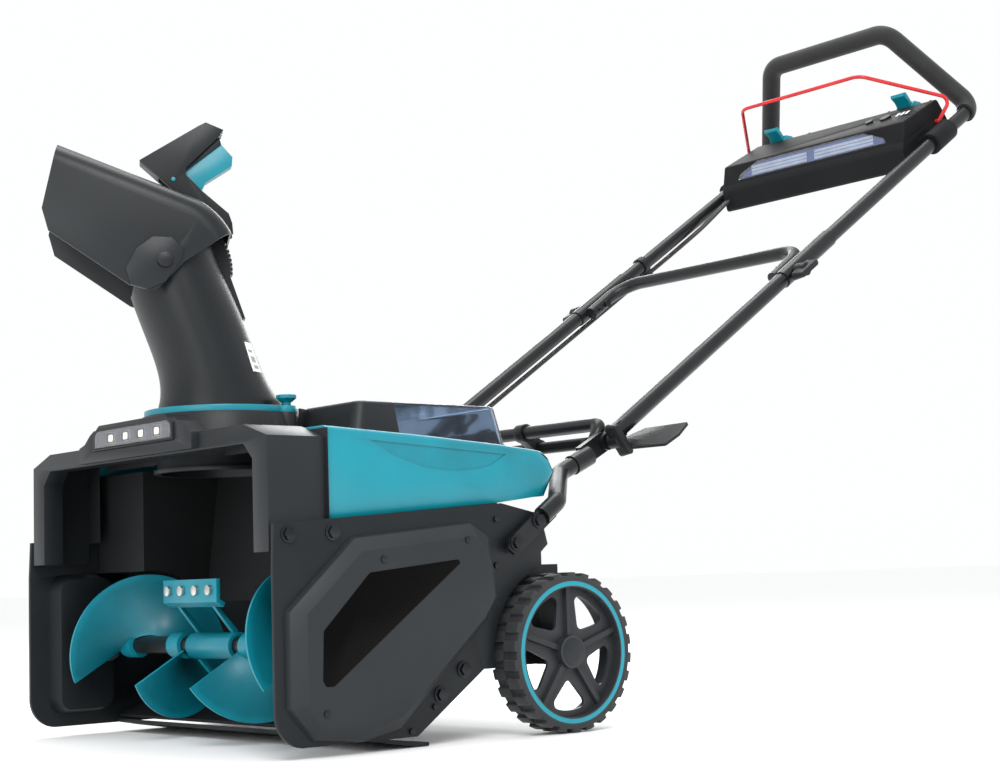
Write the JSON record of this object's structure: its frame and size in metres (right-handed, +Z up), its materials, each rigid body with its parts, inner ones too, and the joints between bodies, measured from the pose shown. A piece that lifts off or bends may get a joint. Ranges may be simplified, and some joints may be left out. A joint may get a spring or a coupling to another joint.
{
  "type": "snow blower",
  "caption": "Walk-behind battery snow blower with an auger housing, turning chute with tilting hood, lidded battery bay, two wheels and a folding handle with console.",
  "frame": {"origin": "on the ground, under the middle of the whole machine's box", "axes": "+Z up, -Y the snow intake at the front, +X the operator's left, so +Y points to the handle"},
  "size_m": [0.606, 1.5166, 1.0609],
  "materials": {
    "dark_steel": "satin",
    "dark_plastic": "textured",
    "black_steel": "satin",
    "accent_plastic": "satin",
    "accent_steel": "satin",
    "red_coat": "satin",
    "smoke": "gloss",
    "clear": "gloss",
    "tread": "matte",
    "foam": "matte",
    "zinc": "satin",
    "cable_rubber": "matte"
  },
  "bodies": {
    "chassis": {"side_plate_left": "dark_steel", "side_plate_right": "dark_steel", "auger_housing": "dark_plastic", "scraper_blade": "black_steel", "upper_frame": "dark_plastic", "front_light_housing": "dark_plastic", "front_light_lens": "clear", "chute_ring": "accent_plastic", "rear_cover": "accent_plastic", "battery_bay": "dark_plastic", "battery_packs": "dark_plastic", "motor_housing": "dark_plastic", "drive_motor": "zinc", "control_unit": "dark_plastic", "drive_belt": "cable_rubber", "drive_cover": "dark_plastic", "wheel_axle": "dark_steel", "auger_bearings": "zinc", "lower_bars": "black_steel", "chassis_fasteners": "zinc"},
    "auger": {"auger_shaft": "black_steel", "auger_flights": "accent_steel", "paddles": "accent_steel", "auger_bolts": "zinc", "auger_pulley": "zinc"},
    "motor_rotor": {"motor_rotor": "dark_steel"},
    "wheel_left": {"tyre_left": "tread", "wheel_rim_left": "dark_plastic"},
    "wheel_right": {"tyre_right": "tread", "wheel_rim_right": "dark_plastic"},
    "chute": {"chute_tube": "dark_plastic", "hood_pivots": "zinc"},
    "hood": {"deflector_hood": "dark_plastic", "hood_caps": "dark_plastic", "deflector_handle": "dark_plastic"},
    "trigger": {"deflector_trigger": "accent_plastic"},
    "chute_knob": {"chute_knob": "accent_plastic"},
    "handle": {"lower_tubes": "black_steel", "handle_loop": "black_steel", "foam_grip": "foam", "mid_cross_tube": "black_steel", "low_cross_tube": "black_steel", "handle_bolts": "zinc", "console_lower": "dark_plastic", "console_upper": "dark_plastic", "console_lens": "clear", "handle_clips": "dark_plastic", "control_cables": "cable_rubber"},
    "pivot_knob_left": {"pivot_knob_left": "dark_plastic"},
    "pivot_knob_right": {"pivot_knob_right": "dark_plastic"},
    "joint_knob_left": {"joint_knob_left": "dark_plastic"},
    "joint_knob_right": {"joint_knob_right": "dark_plastic"},
    "bail": {"safety_bail": "red_coat"},
    "lever_left": {"lever_left": "accent_plastic"},
    "lever_right": {"lever_right": "accent_plastic"},
    "power_button": {"power_button": "dark_plastic"},
    "light_button": {"light_button": "dark_plastic"},
    "battery_lid": {"battery_lid": "smoke", "lid_front_trim": "dark_plastic"},
    "cleanout_tool": {"cleanout_tool": "dark_plastic"}
  },
  "joints": [
    {"name": "auger_spin", "type": "hinge", "parent": "chassis", "child": "auger", "pos_m": [0, -0.54819, 0.113], "axis": [1, 0, 0], "continuous": true},
    {"name": "rotor_spin", "type": "hinge", "parent": "chassis", "child": "motor_rotor", "pos_m": [0.14, -0.40119, 0.186], "axis": [1, 0, 0], "continuous": true},
    {"name": "wheel_left_spin", "type": "hinge", "parent": "chassis", "child": "wheel_left", "pos_m": [0.282, -0.25119, 0.093], "axis": [1, 0, 0], "continuous": true},
    {"name": "wheel_right_spin", "type": "hinge", "parent": "chassis", "child": "wheel_right", "pos_m": [-0.282, -0.25119, 0.093], "axis": [1, 0, 0], "continuous": true},
    {"name": "chute_turn", "type": "hinge", "parent": "chassis", "child": "chute", "pos_m": [0, -0.53779, 0.4], "axis": [0, 0, 1], "range_deg": [-61, 119]},
    {"name": "hood_tilt", "type": "hinge", "parent": "chute", "child": "hood", "pos_m": [-0.0323, -0.59535, 0.564], "axis": [-0.8721, 0.4894, 0], "range_deg": [0, 36]},
    {"name": "hood_trigger", "type": "hinge", "parent": "hood", "child": "trigger", "pos_m": [-0.02643, -0.58488, 0.676], "axis": [0.8721, -0.4894, 0], "range_deg": [0, 5], "stiffness_Nm_per_rad": 0.3, "springref_deg": -17.19},
    {"name": "chute_knob_turn", "type": "hinge", "parent": "chassis", "child": "chute_knob", "pos_m": [0.084, -0.50019, 0.395], "axis": [0, 0, 1], "continuous": true},
    {"name": "handle_fold", "type": "hinge", "parent": "chassis", "child": "handle", "pos_m": [0, -0.10119, 0.3507], "axis": [1, 0, 0], "range_deg": [0, 90]},
    {"name": "pivot_knob_left_turn", "type": "hinge", "parent": "handle", "child": "pivot_knob_left", "pos_m": [0.234, -0.10119, 0.3507], "axis": [1, 0, 0], "continuous": true},
    {"name": "pivot_knob_right_turn", "type": "hinge", "parent": "handle", "child": "pivot_knob_right", "pos_m": [-0.234, -0.10119, 0.3507], "axis": [1, 0, 0], "continuous": true},
    {"name": "joint_knob_left_turn", "type": "hinge", "parent": "handle", "child": "joint_knob_left", "pos_m": [0.234, 0.28073, 0.60349], "axis": [1, 0, 0], "continuous": true},
    {"name": "joint_knob_right_turn", "type": "hinge", "parent": "handle", "child": "joint_knob_right", "pos_m": [-0.234, 0.28073, 0.60349], "axis": [1, 0, 0], "continuous": true},
    {"name": "bail_squeeze", "type": "hinge", "parent": "handle", "child": "bail", "pos_m": [0, 0.68481, 0.887], "axis": [-1, 0, 0], "range_deg": [0, 32], "stiffness_Nm_per_rad": 0.6, "springref_deg": -34.38},
    {"name": "lever_left_push", "type": "hinge", "parent": "handle", "child": "lever_left", "pos_m": [0.126, 0.70517, 0.92519], "axis": [1, 0, 0], "range_deg": [0, 15], "stiffness_Nm_per_rad": 0.2, "springref_deg": -11.46},
    {"name": "lever_right_push", "type": "hinge", "parent": "handle", "child": "lever_right", "pos_m": [-0.126, 0.70517, 0.92519], "axis": [1, 0, 0], "range_deg": [0, 15], "stiffness_Nm_per_rad": 0.2, "springref_deg": -11.46},
    {"name": "power_button_press", "type": "slide", "parent": "handle", "child": "power_button", "axis": [0, 0.5519, -0.8339], "range_m": [0, 0.0015], "stiffness_N_per_m": 800, "springref_m": -0.0008},
    {"name": "light_button_press", "type": "slide", "parent": "handle", "child": "light_button", "axis": [0, 0.5519, -0.8339], "range_m": [0, 0.0015], "stiffness_N_per_m": 600, "springref_m": -0.0008},
    {"name": "lid_open", "type": "hinge", "parent": "chassis", "child": "battery_lid", "pos_m": [0, -0.24419, 0.338], "axis": [-1, 0, 0], "range_deg": [0, 80]},
    {"name": "tool_slide", "type": "slide", "parent": "handle", "child": "cleanout_tool", "axis": [0, 0.7813, -0.6242], "range_m": [0, 0.05]}
  ],
  "couplings": [
    {"joint": "rotor_spin", "follows": "auger_spin", "ratio": 2.8571}
  ]
}
